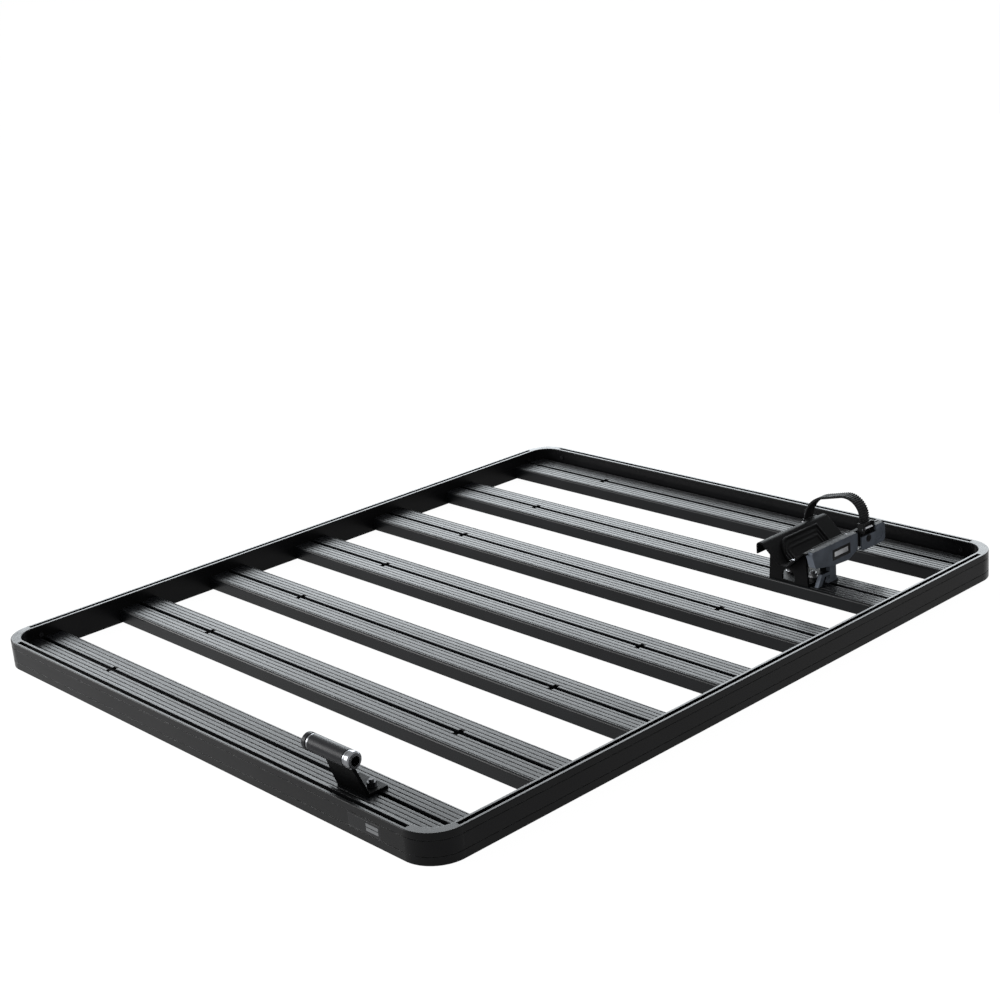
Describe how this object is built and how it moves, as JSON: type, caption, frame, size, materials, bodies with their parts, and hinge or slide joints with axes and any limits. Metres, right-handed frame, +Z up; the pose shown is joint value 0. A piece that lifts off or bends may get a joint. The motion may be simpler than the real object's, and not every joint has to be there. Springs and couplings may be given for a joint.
{
  "type": "roof mounted bike carrier",
  "caption": "Slatted roof platform with T-slot rails, a thru-axle fork mount and a wheel tray whose ratchet strap holds the wheel; carries a bicycle with its front wheel off.",
  "frame": {"origin": "middle of the platform, on its underside", "axes": "+Z up, +X along the slats, +Y along the vehicle from the fork end to the wheel-tray end"},
  "size_m": [1.165, 1.358, 0.1535],
  "materials": {
    "rail_black": "satin black powder coat",
    "corner_black": "satin black powder coat over a casting",
    "slat_black": "satin black powder coat",
    "zinc_steel": "bright zinc plate",
    "badge_dark": "bare plate, satin",
    "bracket_black": "satin black paint",
    "black_hardware": "black oxide",
    "hub_black": "gloss black",
    "polished_alloy": "polished",
    "cradle_black": "satin black paint",
    "slate_plastic": "fine-grained slate grey",
    "dark_plastic": "fine-grained black",
    "label_silver": "brushed, bare",
    "strap_black": "ribbed, semi-matt",
    "pawl_steel": "hardened steel"
  },
  "bodies": {
    "rack": {"front_rail": "rail_black", "rear_rail": "rail_black", "left_rail": "rail_black", "right_rail": "rail_black", "corner_front_left": "corner_black", "corner_front_right": "corner_black", "corner_rear_left": "corner_black", "corner_rear_right": "corner_black", "slat_1": "slat_black", "slat_2": "slat_black", "slat_3": "slat_black", "slat_4": "slat_black", "slat_5": "slat_black", "slat_6": "slat_black", "slat_7": "slat_black", "slat_bolts": "black_hardware", "corner_screws": "black_hardware", "badge_plate": "badge_dark"},
    "fork_mount": {"fork_bracket": "bracket_black", "hub_tube": "hub_black", "hub_rings": "polished_alloy", "hub_cap_left": "hub_black", "hub_cap_right": "polished_alloy", "axle_sleeve": "polished_alloy", "fork_slot_bar": "bracket_black", "fork_studs": "black_hardware", "fork_washers": "black_hardware", "fork_nuts": "black_hardware"},
    "wheel_tray": {"wheel_cradle": "cradle_black", "tray_bracket": "bracket_black", "cradle_screws": "zinc_steel", "cradle_nuts": "zinc_steel", "tray_slot_bar": "bracket_black", "tray_studs": "zinc_steel", "tray_washers": "zinc_steel", "tray_nuts": "zinc_steel", "buckle_housing": "slate_plastic", "label_plate": "label_silver", "housing_screws": "zinc_steel", "ratchet_frame": "dark_plastic", "frame_screws": "zinc_steel", "strap_anchor": "bracket_black", "anchor_rivets": "zinc_steel", "anchor_pin": "zinc_steel", "lever_pin": "zinc_steel", "hold_pawl_pin": "zinc_steel", "hold_spring": "zinc_steel"},
    "strap": {"strap": "strap_black"},
    "ratchet_lever": {"ratchet_lever": "slate_plastic", "drive_pawl_pin": "zinc_steel", "drive_spring": "zinc_steel"},
    "drive_pawl": {"drive_pawl": "pawl_steel"},
    "release_button": {"release_button": "dark_plastic"},
    "hold_pawl": {"hold_pawl": "pawl_steel"}
  },
  "joints": [
    {"name": "fork_slide", "type": "slide", "parent": "rack", "child": "fork_mount", "axis": [1, 0, 0], "range_m": [-0.877, 0.177]},
    {"name": "tray_slide", "type": "slide", "parent": "rack", "child": "wheel_tray", "axis": [1, 0, 0], "range_m": [-0.869, 0.152]},
    {"name": "strap_hinge", "type": "hinge", "parent": "wheel_tray", "child": "strap", "pos_m": [0.282, 0.514, 0.087], "axis": [0, -1, 0], "range_deg": [0, 130]},
    {"name": "lever_hinge", "type": "hinge", "parent": "wheel_tray", "child": "ratchet_lever", "pos_m": [0.412, 0.5443, 0.096], "axis": [0, -1, 0], "range_deg": [0, 90]},
    {"name": "button_slide", "type": "slide", "parent": "ratchet_lever", "child": "release_button", "axis": [-1, 0, 0], "range_m": [0, 0.0018], "stiffness_N_per_m": 600, "springref_m": -0.002},
    {"name": "drive_pawl_hinge", "type": "hinge", "parent": "ratchet_lever", "child": "drive_pawl", "pos_m": [0.41224, 0.514, 0.076], "axis": [0, -1, 0], "range_deg": [0, 20]},
    {"name": "hold_pawl_hinge", "type": "hinge", "parent": "wheel_tray", "child": "hold_pawl", "pos_m": [0.4135, 0.514, 0.0985], "axis": [0, -1, 0], "range_deg": [0, 15], "stiffness_Nm_per_rad": 0.05, "springref_deg": -17.19}
  ],
  "couplings": [
    {"joint": "drive_pawl_hinge", "follows": "button_slide", "rad_per_m": 193.5}
  ]
}
